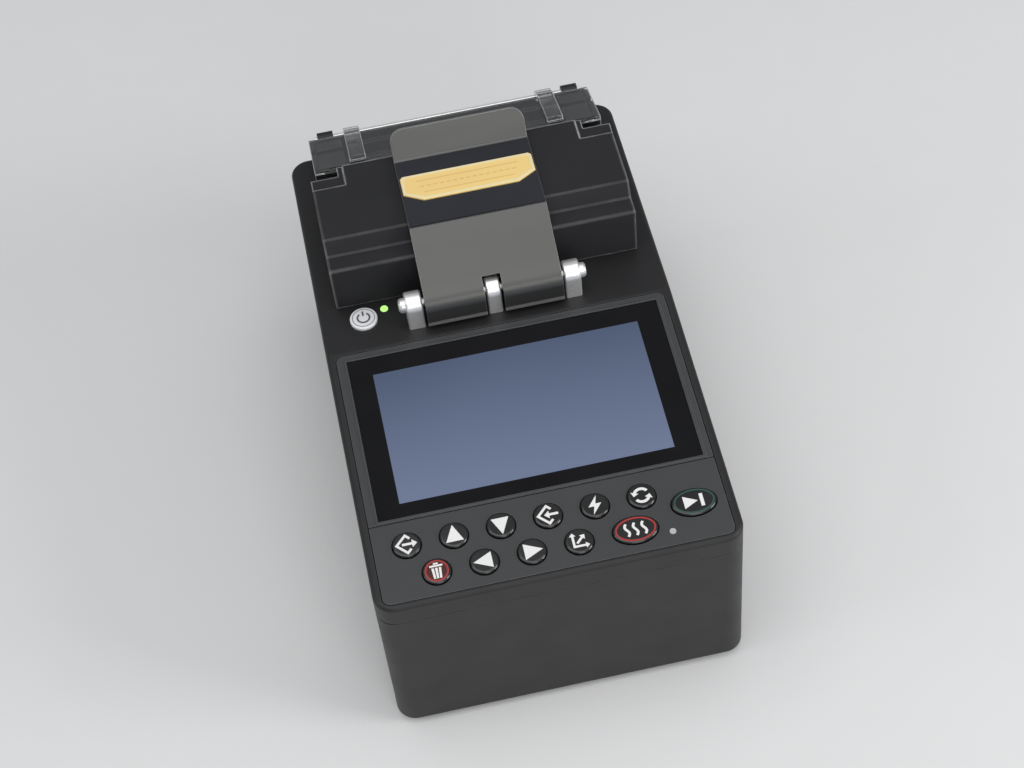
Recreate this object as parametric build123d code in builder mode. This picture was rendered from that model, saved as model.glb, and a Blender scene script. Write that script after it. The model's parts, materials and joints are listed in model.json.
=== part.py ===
from build123d import *

import os
from math import asin, atan2, cos, hypot, radians, sin, tan

# Fiber fusion splicer. Millimetres, +Z up, +Y towards the back, origin at the centre of the footprint
# on the surface that it stands on.

# ---- case ----------------------------------------------------------------------------------------
BODY_W = 125.0
BODY_L = 203.0
CORNER_R = 7.0
WALL = 2.4
FOOT_H = 2.0
SPLIT_Z = 66.0          # joint line between lower and upper case
DECK_Z = 83.1           # flat deck behind the front panel
ROOF = 5.2              # thickness of the upper case's top
BACK_Y = BODY_L / 2
SEAM = 0.4              # chamfer either side of the joint line

# ---- front panel, tilted towards the user --------------------------------------------------------
TILT = 4.6
PANEL_Y = -35.5         # middle of the display
PANEL_Z = 80.0
RIDGE_Y = PANEL_Y + (DECK_Z - PANEL_Z) / tan(radians(TILT))
PLATE_T = 3.1           # thickness of bezel and keypad plate
PLATE_HALF = 59.3
PLATE_GAP = 0.3
LIP_W, LIP_H = 1.0, 0.4  # raised lip of the bezel round the glass
RECESS_V = (-64.3, 37.6)
LEDGE = 1.8
BEZEL_V = (-33.7, 37.3)
KEYPAD_V = (-64.0, -34.1)
GLASS_U = (-55.7, 56.0)
GLASS_V = (-32.5, 34.2)
GLASS_T = 1.6
LIT_W, LIT_H = 95.04, 53.86
LCD_W, LCD_H, LCD_T = 105.5, 67.2, 2.9

# ---- keys ----------------------------------------------------------------------------------------
KEY_R = 4.8
OVAL_A, OVAL_B = 7.7, 5.2
KEY_PITCH = 16.0
KEY_RISE = 0.9
KEY_ROUND = 0.75
KEY_GAP = 0.35
ROW_1, ROW_2 = -43.4, -55.5
KEY_FLANGE = 0.6
KEY_FLANGE_T = 1.1
KEY_STEM_R = 1.5
KEY_TRAVEL = 0.8
BOARD_DEPTH = 5.5
BOARD_T = 1.6
POWER_AT = (-46.7, 16.5)
POWER_R = 5.0
LIGHT_AT = (-38.8, 19.5)
LIGHT_R = 1.4
KEY_LIGHT_AT = (38.9, -58.8)
KEY_LIGHT_R = 1.1

# ---- wind cover and its hinge --------------------------------------------------------------------
PIN_Y, PIN_Z = 11.75, 91.75
PIN_R = 1.5
PIN_HEAD_R, PIN_HEAD_L = 2.7, 2.4
POST_X = (-28.5, 0.0, 28.5)
POST_W = 6.0
MID_POST_W = 5.2
POST_R = 4.5
RUN_FIT = 0.05
HOOD_W = 111.0
HOOD_Y = (23.6, 69.0)
HOOD_Z = (83.4, 108.5)
TREAD_Z = 103.0
TREAD_Y = 30.9
RISER_Y = 34.1
HOOD_WALL = 2.2
STEP_ROUND = 0.9
CORNER_NOTCH = (10.0, 4.6, 7.0)
CORNER_STEP = (12.2, 9.8, 0.5)  # shallow step in the top around each corner notch
STRAP_W = 49.4
STRAP_T = 1.6
ROLL_R = 6.0
STRAP_BEND_Y = 30.0
STRAP_BEND_R = 1.8
STRAP_FOOT = (5.2, 85.45)  # front edge of the strap's foot, which flares out from the roll
STRAP_LIP_Z = 86.5
SWEEP_R = hypot(PIN_Y - STRAP_FOOT[0], PIN_Z - STRAP_FOOT[1]) + 0.35
TAB_Y = 64.0
TAB_LEN = 11.5
TAB_ANGLE = 60.0
NOTCH_W = 6.6
PLATE_W, PLATE_Y, PLATE_H = 49.0, (30.6, 62.8), 0.5
BADGE_W, BADGE_H, BADGE_T = 48.2, 12.9, 0.6
BADGE_CUT = (6.8, 4.0)  # chamfer of the badge's front corners
BADGE_Y = 48.3
STRAP_SCREW_Y = 51.0
STRAP_SCREW_SPACING = (36.0, 20.0)
STRAP_TOP = HOOD_Z[1] + STRAP_T

# ---- splice bay ----------------------------------------------------------------------------------
BAY_W = 103.0
BAY_Y = (28.5, 65.5)
BAY_FLOOR = 70.0
BASE_TOP = 76.0
FIBER_Y = 46.5
FIBER_Z = 87.3
V_TOP = 87.8
ROD_Y = (35.5, 57.5)
ROD_Z = 80.0
ROD_R = 1.5
CARRIAGE_X = (17.0, 38.0)
CLAMP_PIN_Y, CLAMP_PIN_Z = 58.5, 88.0
CLAMP_PIN_R = 1.0
ACTUATOR_R = 4.0
PLUNGER_R = 1.0

# ---- heater --------------------------------------------------------------------------------------
HEAT_W = 107.0
HEAT_Y0 = 72.8
HEAT_WALL, HEAT_FRONT = 1.8, 1.6
LID_Y = (70.6, 95.6)
LID_Z0 = 106.2
LID_FALL = 0.328        # fall of the lid per unit of depth
LID_T = 2.2
HEAT_PIN_Y, HEAT_PIN_Z, HEAT_PIN_R = 98.6, 94.6, 1.2
BRACKET_X = (34.0, 40.0)
CURL_R = 2.6
TROUGH_Y = 86.8
TROUGH_W, TROUGH_GAP = 9.6, 5.4

# ---- inside and underneath -----------------------------------------------------------------------
SCREW_AT = (56.5, 95.0)
FEET_SPACING = (96.0, 168.0)
DOOR_Y = -35.0
DOOR_SIZE = (76.0, 112.0)
DOOR_SCREW_DY = 51.0
TRIPOD_Y = 60.0
TRIPOD_R = 2.55
TRIPOD_L = 9.0
JACK_Y, USB_Y, PORT_Z = 60.0, 38.0, 30.0
JACK_R = 2.85

os.makedirs("parts", exist_ok=True)


def save(piece, name):
    """Label a finished piece and write it."""
    piece.part.label = name
    export_step(piece.part, f"parts/{name}.step")


def panel(depth=0.0):
    """Plane of the tilted front panel, sunk by depth along its own normal."""
    normal = Vector(0, -sin(radians(TILT)), cos(radians(TILT)))
    return Plane(origin=Vector(0, PANEL_Y, PANEL_Z) - normal * depth, x_dir=(1, 0, 0), z_dir=normal)


def roof_z(y):
    """Height of the front panel's surface at a depth y."""
    return PANEL_Z + (y - PANEL_Y) * tan(radians(TILT))


def rect(x0, x1, y0, y1):
    """Rectangle between two corners, in the current sketch."""
    with Locations(((x0 + x1) / 2, (y0 + y1) / 2)):
        Rectangle(x1 - x0, y1 - y0)


def block(x, y, z, mode=Mode.ADD):
    """Box between two corners, each given as a (low, high) pair."""
    with BuildSketch(Plane.XY.offset(z[0])) as plan:
        rect(x[0], x[1], y[0], y[1])
    extrude(plan.sketch, amount=z[1] - z[0], mode=mode)


def profile_x(points, x0, x1, mode=Mode.ADD):
    """Extrude a (y, z) outline along X."""
    with BuildSketch(Plane.YZ.offset(x0)) as section:
        with BuildLine():
            Polyline(*points, close=True)
        make_face()
    extrude(section.sketch, amount=x1 - x0, mode=mode)


def rod_x(y, z, radius, x0, x1, mode=Mode.ADD):
    """Round bar or hole along X."""
    with BuildSketch(Plane.YZ.offset(x0)) as section:
        with Locations((y, z)):
            Circle(radius)
    extrude(section.sketch, amount=x1 - x0, mode=mode)


def rod_z(x, y, radius, z0, z1, mode=Mode.ADD):
    """Upright round bar or hole."""
    with BuildSketch(Plane.XY.offset(z0)) as section:
        with Locations((x, y)):
            Circle(radius)
    extrude(section.sketch, amount=z1 - z0, mode=mode)


def case_block(inset, low, roof, round_edge=0.0):
    """Block in the case's plan, drawn in by inset, from height low up to the roof lowered by roof."""
    front = -BODY_L / 2 - 5
    with BuildPart() as body:
        with BuildSketch(Plane.XY.offset(low)):
            RectangleRounded(BODY_W - 2 * inset, BODY_L - 2 * inset, CORNER_R - inset)
        extrude(amount=DECK_Z - roof - low)
        wedge = [
            (RIDGE_Y, DECK_Z - roof),
            (front, roof_z(front) - roof),
            (front, DECK_Z + 5),
            (RIDGE_Y, DECK_Z + 5),
        ]
        profile_x(wedge, -BODY_W, BODY_W, Mode.SUBTRACT)
        if round_edge:
            tops = body.faces().filter_by(lambda f: f.normal_at().Z > 0.9)
            rim = [e for e in tops.edges() if abs(e.center().Y - RIDGE_Y) > 0.5 or abs(e.center().X) > 1]
            fillet(rim, radius=round_edge)
    return body.part


# ---- case parts ----------------------------------------------------------------------------------
corners = [(sx * SCREW_AT[0], sy * SCREW_AT[1]) for sx in (-1, 1) for sy in (-1, 1)]
door_screws = [(0, DOOR_Y - DOOR_SCREW_DY), (0, DOOR_Y + DOOR_SCREW_DY)]
SCREW_HEAD_R, SCREW_R, SCREW_L = 2.7, 1.3, 20.0
BOSS_TOP = 14.0

with BuildPart() as lower_case:
    with BuildSketch(Plane.XY.offset(FOOT_H)):
        RectangleRounded(BODY_W, BODY_L, CORNER_R)
    extrude(amount=SPLIT_Z - FOOT_H)
    chamfer(lower_case.faces().sort_by(Axis.Z)[0].edges(), length=2.0)
    chamfer(lower_case.faces().sort_by(Axis.Z)[-1].edges(), length=SEAM)
    with BuildSketch(Plane.XY.offset(FOOT_H + WALL)):
        RectangleRounded(BODY_W - 2 * WALL, BODY_L - 2 * WALL, CORNER_R - WALL)
    extrude(amount=SPLIT_Z, mode=Mode.SUBTRACT)
    # screw pillars at the corners and the rails that carry the main board
    for x, y in corners:
        rod_z(x, y, 4.0, FOOT_H + WALL, BOSS_TOP)
    for side in (-1, 1):
        rail = sorted((side * 56.5, side * (BODY_W / 2 - 1)))
        block(rail, (-80, 80), (49.5, 52.0))
    # battery door opening with an end shelf and a screw pillar at each end
    block((-40, 40), (DOOR_Y - 58, DOOR_Y + 58), (FOOT_H + WALL, FOOT_H + WALL + 2))
    door_half = (DOOR_SIZE[0] / 2 + PLATE_GAP, DOOR_SIZE[1] / 2 + PLATE_GAP)
    block((-door_half[0], door_half[0]), (DOOR_Y - door_half[1], DOOR_Y + door_half[1]),
          (FOOT_H, FOOT_H + WALL), Mode.SUBTRACT)
    block((-36, 36), (DOOR_Y - 46, DOOR_Y + 46), (FOOT_H, FOOT_H + WALL + 2), Mode.SUBTRACT)
    for x, y in door_screws:
        rod_z(x, y, 3.6, FOOT_H + WALL + 2, 27)
        rod_z(x, y, SCREW_R, FOOT_H, 25, Mode.SUBTRACT)
    for x, y in corners:
        rod_z(x, y, SCREW_HEAD_R + 0.2, FOOT_H, FOOT_H + 3, Mode.SUBTRACT)
        rod_z(x, y, SCREW_R + 0.1, FOOT_H, BOSS_TOP, Mode.SUBTRACT)
    # seats for the feet, the tripod insert and the ports
    with BuildSketch(Plane.XY.offset(FOOT_H)):
        with GridLocations(*FEET_SPACING, 2, 2):
            Circle(7.1)
    extrude(amount=1.0, mode=Mode.SUBTRACT)
    rod_z(0, TRIPOD_Y, 8, FOOT_H + WALL, FOOT_H + TRIPOD_L + 2)
    rod_z(0, TRIPOD_Y, 5, FOOT_H, FOOT_H + TRIPOD_L, Mode.SUBTRACT)
    rod_x(JACK_Y, PORT_Z, 4.6, BODY_W / 2 - WALL - 1, BODY_W / 2 + 1, Mode.SUBTRACT)
    block((BODY_W / 2 - WALL - 1, BODY_W / 2 + 1), (USB_Y - 4.8, USB_Y + 4.8),
          (PORT_Z - 2.8, PORT_Z + 2.8), Mode.SUBTRACT)
    # air slots on both sides and finger grooves towards the front
    for side in (-1, 1):
        wall = sorted((side * (BODY_W / 2 - WALL - 1), side * (BODY_W / 2 + 1)))
        groove = sorted((side * (BODY_W / 2 - 0.9), side * (BODY_W / 2 + 1)))
        for i in range(6):
            block(wall, (-6 + 5 * i, -4 + 5 * i), (22, 38), Mode.SUBTRACT)
        for i in range(7):
            block(groove, (-84, -34), (30 + 4 * i, 31.6 + 4 * i), Mode.SUBTRACT)
save(lower_case, "lower_case")

with BuildPart() as upper_case:
    add(case_block(0, SPLIT_Z, 0, 1.6))
    chamfer(upper_case.faces().sort_by(Axis.Z)[0].edges(), length=SEAM)
    add(case_block(WALL, SPLIT_Z, ROOF), mode=Mode.SUBTRACT)
    # recess and ledge for the bezel and the keypad plate
    half = PLATE_HALF + PLATE_GAP
    with BuildSketch(panel(PLATE_T)):
        with Locations((0, sum(RECESS_V) / 2)):
            RectangleRounded(2 * half, RECESS_V[1] - RECESS_V[0], 3)
    extrude(amount=PLATE_T + 5, mode=Mode.SUBTRACT)
    with BuildSketch(panel(PLATE_T)):
        rect(LEDGE - half, half - LEDGE, RECESS_V[0] + LEDGE, RECESS_V[1] - LEDGE)
    extrude(amount=-8, mode=Mode.SUBTRACT)
    # well that holds the splice mechanism
    block((-BAY_W / 2 - 2, BAY_W / 2 + 2), (BAY_Y[0] - 2, BAY_Y[1] + 2), (BAY_FLOOR - 2, DECK_Z - 1))
    block((-BAY_W / 2, BAY_W / 2), BAY_Y, (BAY_FLOOR, DECK_Z + 1), Mode.SUBTRACT)
    # screw columns, power button and its light
    for x, y in corners:
        rod_z(x, y, 3.0, BOSS_TOP, 71.5 if y < 0 else DECK_Z - 2)
        rod_z(x, y, SCREW_R, BOSS_TOP, 27, Mode.SUBTRACT)
    rod_z(*POWER_AT, POWER_R + KEY_GAP, DECK_Z - ROOF - 1, DECK_Z + 1, Mode.SUBTRACT)
    rod_z(*LIGHT_AT, LIGHT_R, DECK_Z - ROOF - 1, DECK_Z + 1, Mode.SUBTRACT)
    # shallow channels that the strap's foot swings through on either side of the middle post
    for side in (-1, 1):
        span = sorted((side * (NOTCH_W / 2 - PLATE_GAP), side * (STRAP_W / 2 + PLATE_GAP)))
        rod_x(PIN_Y, PIN_Z, SWEEP_R, *span, Mode.SUBTRACT)
save(upper_case, "upper_case")

with BuildPart() as rubber_feet:
    with BuildSketch():
        with GridLocations(*FEET_SPACING, 2, 2):
            Circle(7.0)
    extrude(amount=FOOT_H + 1.0)
    chamfer(rubber_feet.faces().group_by(Axis.Z)[0].edges(), length=0.8)
save(rubber_feet, "rubber_feet")

with BuildPart() as case_screws:
    for x, y in corners + door_screws:
        head = FOOT_H + (0.6 if (x, y) in corners else 0.2)
        rod_z(x, y, SCREW_HEAD_R, head, head + 2.2)
        rod_z(x, y, SCREW_R - 0.02, head + 2.2, head + 2.2 + SCREW_L - 2)
        rod_z(x, y, 1.2, head - 0.1, head + 1.1, Mode.SUBTRACT)
save(case_screws, "case_screws")

with BuildPart() as battery_door:
    block((-DOOR_SIZE[0] / 2, DOOR_SIZE[0] / 2),
          (DOOR_Y - DOOR_SIZE[1] / 2, DOOR_Y + DOOR_SIZE[1] / 2), (FOOT_H, FOOT_H + WALL))
    fillet(battery_door.edges().filter_by(Axis.Z), radius=3)
    for x, y in door_screws:
        rod_z(x, y, SCREW_HEAD_R + 0.1, FOOT_H - 1, FOOT_H + WALL + 1, Mode.SUBTRACT)
    for i in range(5):
        block((-14, 14), (DOOR_Y - 9 + 4 * i, DOOR_Y - 7.4 + 4 * i), (FOOT_H, FOOT_H + 0.8), Mode.SUBTRACT)
save(battery_door, "battery_door")

with BuildPart() as battery_pack:
    block((-34.5, 34.5), (DOOR_Y - 44.5, DOOR_Y + 44.5), (FOOT_H + WALL + 0.3, 44))
    fillet(battery_pack.edges().filter_by(Axis.Y), radius=4)
save(battery_pack, "battery_pack")

# chips and connectors on the board: corner, width, depth and height of each
CHIPS = (
    (-30, 10, 14, 14, 1.4),
    (10, 30, 18, 18, 2.0),
    (34, -20, 8, 12, 6.0),
    (-20, -50, 20, 9, 3.0),
)
with BuildPart() as main_board:
    block((-59, 59), (-78, 78), (52.0, 53.6))
    for x, y, w, d, h in CHIPS:
        block((x, x + w), (y, y + d), (53.6, 53.6 + h))
save(main_board, "main_board")

with BuildPart() as tripod_insert:
    rod_z(0, TRIPOD_Y, 5, FOOT_H, FOOT_H + TRIPOD_L)
    rod_z(0, TRIPOD_Y, TRIPOD_R, FOOT_H - 1, FOOT_H + TRIPOD_L + 1, Mode.SUBTRACT)
save(tripod_insert, "tripod_insert")

with BuildPart() as dc_jack:
    block((47, BODY_W / 2 - WALL), (JACK_Y - 5, JACK_Y + 5), (PORT_Z - 5.5, PORT_Z + 5.5))
    rod_x(JACK_Y, PORT_Z, 4.4, BODY_W / 2 - WALL, BODY_W / 2 - 0.3)
    rod_x(JACK_Y, PORT_Z, JACK_R, BODY_W / 2 - 10, BODY_W / 2, Mode.SUBTRACT)
    rod_x(JACK_Y, PORT_Z, 1.0, BODY_W / 2 - 11, BODY_W / 2 - 1.5)
save(dc_jack, "dc_jack")

with BuildPart() as usb_port:
    block((51, BODY_W / 2 - 0.3), (USB_Y - 4.4, USB_Y + 4.4), (PORT_Z - 2.5, PORT_Z + 2.5))
    block((53, BODY_W / 2), (USB_Y - 3.9, USB_Y + 3.9), (PORT_Z - 2, PORT_Z + 2), Mode.SUBTRACT)
    block((52, BODY_W / 2 - 2), (USB_Y - 3, USB_Y + 3), (PORT_Z - 0.4, PORT_Z + 0.4))
save(usb_port, "usb_port")

# ---- front panel ---------------------------------------------------------------------------------
GLASS_GAP = 0.1


def around_glass(grow):
    """Rectangle of the cover glass, made larger by grow."""
    rect(GLASS_U[0] - grow, GLASS_U[1] + grow, GLASS_V[0] - grow, GLASS_V[1] + grow)


with BuildPart() as screen_bezel:
    with BuildSketch(panel(PLATE_T)):
        rect(-PLATE_HALF, PLATE_HALF, *BEZEL_V)
    extrude(amount=PLATE_T)
    upright = screen_bezel.edges().filter_by(lambda e: abs(e.tangent_at(0.5).Z) > 0.9)
    fillet(upright.group_by(Axis.Y)[-1], radius=2.7)
    with BuildSketch(panel(GLASS_T)):
        around_glass(GLASS_GAP)
    extrude(amount=GLASS_T + 1, mode=Mode.SUBTRACT)
    with BuildSketch(panel()):
        around_glass(GLASS_GAP + LIP_W)
        with BuildSketch(panel(), mode=Mode.SUBTRACT):
            around_glass(GLASS_GAP)
    extrude(amount=LIP_H)
    lip_top = screen_bezel.faces().sort_by(Axis((0, 0, 0), panel().z_dir))[-1]
    fillet(lip_top.outer_wire().edges(), radius=0.35)
    with BuildSketch(panel(PLATE_T + 1)):
        Rectangle(LIT_W + 5, LIT_H + 5)
    extrude(amount=PLATE_T + 1, mode=Mode.SUBTRACT)
save(screen_bezel, "screen_bezel")

with BuildPart() as display_glass:
    with BuildSketch(panel(GLASS_T)):
        rect(*GLASS_U, *GLASS_V)
    extrude(amount=GLASS_T - 0.1)
    upright = display_glass.edges().filter_by(lambda e: abs(e.tangent_at(0.5).Z) > 0.9)
    fillet(upright, radius=0.8)
save(display_glass, "display_glass")

with BuildPart() as lcd_module:
    with BuildSketch(panel(PLATE_T + LCD_T)):
        Rectangle(LCD_W, LCD_H)
    extrude(amount=LCD_T)
    with BuildSketch(panel(PLATE_T)):
        Rectangle(LIT_W + 3, LIT_H + 3)
    extrude(amount=0.8)
save(lcd_module, "lcd_module")

keys = {
    "key_confirm": (-3.0 * KEY_PITCH, ROW_1, False),
    "key_up": (-2.0 * KEY_PITCH, ROW_1, False),
    "key_down": (-1.0 * KEY_PITCH, ROW_1, False),
    "key_next": (0.0, ROW_1, False),
    "key_arc": (1.0 * KEY_PITCH, ROW_1, False),
    "key_reset": (2.0 * KEY_PITCH, ROW_1, False),
    "key_cancel": (-2.5 * KEY_PITCH, ROW_2, False),
    "key_left": (-1.5 * KEY_PITCH, ROW_2, False),
    "key_right": (-0.5 * KEY_PITCH, ROW_2, False),
    "key_view": (0.5 * KEY_PITCH, ROW_2, False),
    "key_heat": (27.0, ROW_2, True),
    "key_set": (48.4, -49.7, True),
}


def key_outline(u, v, oval, grow=0.0):
    """Round or oval key outline, made larger by grow."""
    with Locations((u, v)):
        if oval:
            Ellipse(OVAL_A + grow, OVAL_B + grow)
        else:
            Circle(KEY_R + grow)


def key_part(u, v, oval):
    """Key cap with a hidden flange under the plate and a stem over its switch."""
    with BuildPart() as key:
        with BuildSketch(panel(PLATE_T + 0.2)):
            key_outline(u, v, oval)
        extrude(amount=PLATE_T + 0.2 + KEY_RISE)
        top = key.edges().sort_by(Axis((0, 0, 0), panel().z_dir))[-1]
        fillet(top, radius=KEY_ROUND)
        with BuildSketch(panel(PLATE_T + 0.1 + KEY_FLANGE_T)):
            key_outline(u, v, oval, KEY_FLANGE)
        extrude(amount=KEY_FLANGE_T)
        with BuildSketch(panel(BOARD_DEPTH - KEY_TRAVEL - 0.1)):
            with Locations((u, v)):
                Circle(KEY_STEM_R)
        extrude(amount=BOARD_DEPTH - KEY_TRAVEL - PLATE_T - 0.1)
    return key


for name, (u, v, oval) in keys.items():
    save(key_part(u, v, oval), name)

with BuildPart() as keypad_plate:
    with BuildSketch(panel(PLATE_T)):
        rect(-PLATE_HALF, PLATE_HALF, *KEYPAD_V)
    extrude(amount=PLATE_T)
    upright = keypad_plate.edges().filter_by(lambda e: abs(e.tangent_at(0.5).Z) > 0.9)
    fillet(upright.group_by(Axis.Y)[0], radius=2.7)
    with BuildSketch(panel(PLATE_T + 1)):
        for u, v, oval in keys.values():
            key_outline(u, v, oval, KEY_GAP)
        with Locations(KEY_LIGHT_AT):
            Circle(KEY_LIGHT_R)
    extrude(amount=PLATE_T + 2, mode=Mode.SUBTRACT)
save(keypad_plate, "keypad_plate")

with BuildPart() as keypad_board:
    with BuildSketch(panel(BOARD_DEPTH + BOARD_T)):
        rect(-52, 52, -61.5, -36)
    extrude(amount=BOARD_T)
save(keypad_board, "keypad_board")

with BuildPart() as keypad_light:
    with BuildSketch(panel(BOARD_DEPTH)):
        with Locations(KEY_LIGHT_AT):
            Circle(KEY_LIGHT_R)
    extrude(amount=BOARD_DEPTH + 0.2)
save(keypad_light, "keypad_light")

with BuildPart() as power_button:
    rod_z(*POWER_AT, POWER_R, DECK_Z - ROOF - 0.4, DECK_Z + KEY_RISE)
    fillet(power_button.edges().sort_by(Axis.Z)[-1], radius=0.5)
    rod_z(*POWER_AT, POWER_R + 1, DECK_Z - ROOF - 1.6, DECK_Z - ROOF - 0.3)
save(power_button, "power_button")

with BuildPart() as power_light:
    rod_z(*LIGHT_AT, LIGHT_R, DECK_Z - ROOF, DECK_Z + 0.5)
    fillet(power_light.edges().sort_by(Axis.Z)[-1], radius=0.4)
save(power_light, "power_light")

# ---- cover hinge ---------------------------------------------------------------------------------
with BuildPart() as hinge_posts:
    for x, width in zip(POST_X, (POST_W, MID_POST_W, POST_W)):
        block((x - width / 2, x + width / 2), (PIN_Y - POST_R, PIN_Y + POST_R), (DECK_Z, PIN_Z))
        rod_x(PIN_Y, PIN_Z, POST_R, x - width / 2, x + width / 2)
    rims = hinge_posts.faces().filter_by(Axis.X).edges().filter_by(lambda e: e.center().Z > DECK_Z + 1)
    fillet(rims, radius=0.7)
    rod_x(PIN_Y, PIN_Z, PIN_R, -40, 40, Mode.SUBTRACT)
save(hinge_posts, "hinge_posts")

with BuildPart() as hinge_pin:
    end = POST_X[2] + POST_W / 2
    rod_x(PIN_Y, PIN_Z, PIN_R, -end, end)
    for side in (-1, 1):
        head = sorted((side * end, side * (end + PIN_HEAD_L)))
        rod_x(PIN_Y, PIN_Z, PIN_HEAD_R, *head)
    fillet([e for e in hinge_pin.edges() if abs(e.center().X) > end + 2], radius=1.2)
save(hinge_pin, "hinge_pin")

# outer face of the strap: up from the flared foot, round the pin, up the slope, back along the top
# and up the tab
bend_from_pin = (STRAP_BEND_Y - PIN_Y, STRAP_TOP - PIN_Z)
slope = atan2(bend_from_pin[1], bend_from_pin[0]) - asin(ROLL_R / hypot(*bend_from_pin))
roll_end = (PIN_Y - ROLL_R * sin(slope), PIN_Z + ROLL_R * cos(slope))
half_turn = (radians(90) - slope) / 2
roll_mid = (PIN_Y - ROLL_R * cos(half_turn), PIN_Z + ROLL_R * sin(half_turn))
tab_end = (TAB_Y + TAB_LEN * cos(radians(TAB_ANGLE)), STRAP_TOP + TAB_LEN * sin(radians(TAB_ANGLE)))

with BuildPart() as hinge_strap:
    with BuildSketch(Plane.YZ.offset(-STRAP_W / 2)):
        with BuildLine():
            Polyline(STRAP_FOOT, (PIN_Y - ROLL_R, STRAP_LIP_Z), (PIN_Y - ROLL_R, PIN_Z))
            ThreePointArc((PIN_Y - ROLL_R, PIN_Z), roll_mid, roll_end)
            bends = [roll_end, (STRAP_BEND_Y, STRAP_TOP), (TAB_Y, STRAP_TOP), tab_end]
            FilletPolyline(*bends, radius=STRAP_BEND_R)
            offset(amount=STRAP_T, side=Side.RIGHT)
        make_face()
    extrude(amount=STRAP_W)
    ends = hinge_strap.faces().sort_by(Axis.Z)[-1].edges().filter_by(lambda e: e.length < 2 * STRAP_T)
    fillet(ends, radius=5)
    # slot that lets the strap swing past the middle post
    notch_top = (roll_end[0] + 3.6 * cos(slope), roll_end[1] + 3.6 * sin(slope))
    notch = [
        (PIN_Y - ROLL_R - 2, STRAP_FOOT[1] - 2),
        (PIN_Y - ROLL_R - 2, roll_end[1] + 2),
        (notch_top[0] - 2 * sin(slope), notch_top[1] + 2 * cos(slope)),
        (notch_top[0] + 4 * sin(slope), notch_top[1] - 4 * cos(slope)),
        (PIN_Y, STRAP_FOOT[1] - 2),
    ]
    profile_x(notch, -NOTCH_W / 2, NOTCH_W / 2, Mode.SUBTRACT)
    with BuildSketch(Plane.XY.offset(HOOD_Z[1] - 1)):
        with Locations((0, STRAP_SCREW_Y)):
            with GridLocations(*STRAP_SCREW_SPACING, 2, 2):
                Circle(1.5)
    extrude(amount=STRAP_T + 2, mode=Mode.SUBTRACT)
save(hinge_strap, "hinge_strap")

KNUCKLE_R = ROLL_R - STRAP_T - 0.02
KNUCKLE_X = (4.2, 23.8)
with BuildPart() as strap_knuckles:
    for side in (-1, 1):
        span = sorted((side * KNUCKLE_X[0], side * KNUCKLE_X[1]))
        rod_x(PIN_Y, PIN_Z, KNUCKLE_R, *span)
        along, away = (cos(slope), sin(slope)), (-sin(slope), cos(slope))
        web = [
            (PIN_Y + away[0] * a + along[0] * b, PIN_Z + away[1] * a + along[1] * b)
            for a, b in ((KNUCKLE_R, 0), (KNUCKLE_R, 9), (1.6, 5), (0, 0))
        ]
        profile_x(web, *span)
    rod_x(PIN_Y, PIN_Z, PIN_R + RUN_FIT, -30, 30, Mode.SUBTRACT)
save(strap_knuckles, "strap_knuckles")

with BuildPart() as name_plate:
    block((-PLATE_W / 2, PLATE_W / 2), PLATE_Y, (STRAP_TOP, STRAP_TOP + PLATE_H))
    fillet(name_plate.edges().filter_by(Axis.Z), radius=0.4)
save(name_plate, "name_plate")

with BuildPart() as gold_badge:
    low, high = BADGE_Y - BADGE_H / 2, BADGE_Y + BADGE_H / 2
    end = BADGE_W / 2
    with BuildSketch(Plane.XY.offset(STRAP_TOP + PLATE_H)):
        with BuildLine():
            right = [(end - BADGE_CUT[0], low), (end, low + BADGE_CUT[1]), (end, high - 1), (end - 1, high)]
            left = [(-x, y) for x, y in reversed(right)]
            Polyline(*right, *left, close=True)
        make_face()
    extrude(amount=BADGE_T)
    fillet(gold_badge.faces().sort_by(Axis.Z)[-1].edges(), radius=0.25)
save(gold_badge, "gold_badge")


def hood_block(inset, low):
    """Stepped block of the cover, drawn in by inset on every side but the bottom."""
    x = HOOD_W / 2 - inset
    step = [
        (HOOD_Y[0] + inset, low),
        (HOOD_Y[0] + inset, TREAD_Z - inset),
        (TREAD_Y + inset, TREAD_Z - inset),
        (RISER_Y + inset, HOOD_Z[1] - inset),
        (HOOD_Y[1] - inset, HOOD_Z[1] - inset),
        (HOOD_Y[1] - inset, low),
    ]
    nx, ny, nz = CORNER_NOTCH
    with BuildPart() as hood:
        profile_x(step, -x, x)
        if not inset:
            upper = hood.edges().filter_by(Axis.X).filter_by(lambda e: e.center().Z > low + 1)
            fillet(upper.filter_by(lambda e: e.center().Y < RISER_Y + 1), radius=STEP_ROUND)
            sides = hood.faces().filter_by(Axis.X).edges().filter_by(lambda e: e.center().Z > low + 1)
            fillet(sides, radius=0.8)
            sx, sy, sz = CORNER_STEP
            for side in (-1, 1):
                span = sorted((side * (HOOD_W / 2 - sx), side * (HOOD_W / 2 + 1)))
                block(span, (HOOD_Y[1] - sy, HOOD_Y[1] + 1), (HOOD_Z[1] - sz, HOOD_Z[1] + 1), Mode.SUBTRACT)
        for side in (-1, 1):
            span = sorted((side * (HOOD_W / 2 - nx - inset), side * (HOOD_W / 2 + 1)))
            block(span, (HOOD_Y[1] - ny - inset, HOOD_Y[1] + 1), (HOOD_Z[1] - nz - inset, HOOD_Z[1] + 1),
                  Mode.SUBTRACT)
    return hood.part


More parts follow.
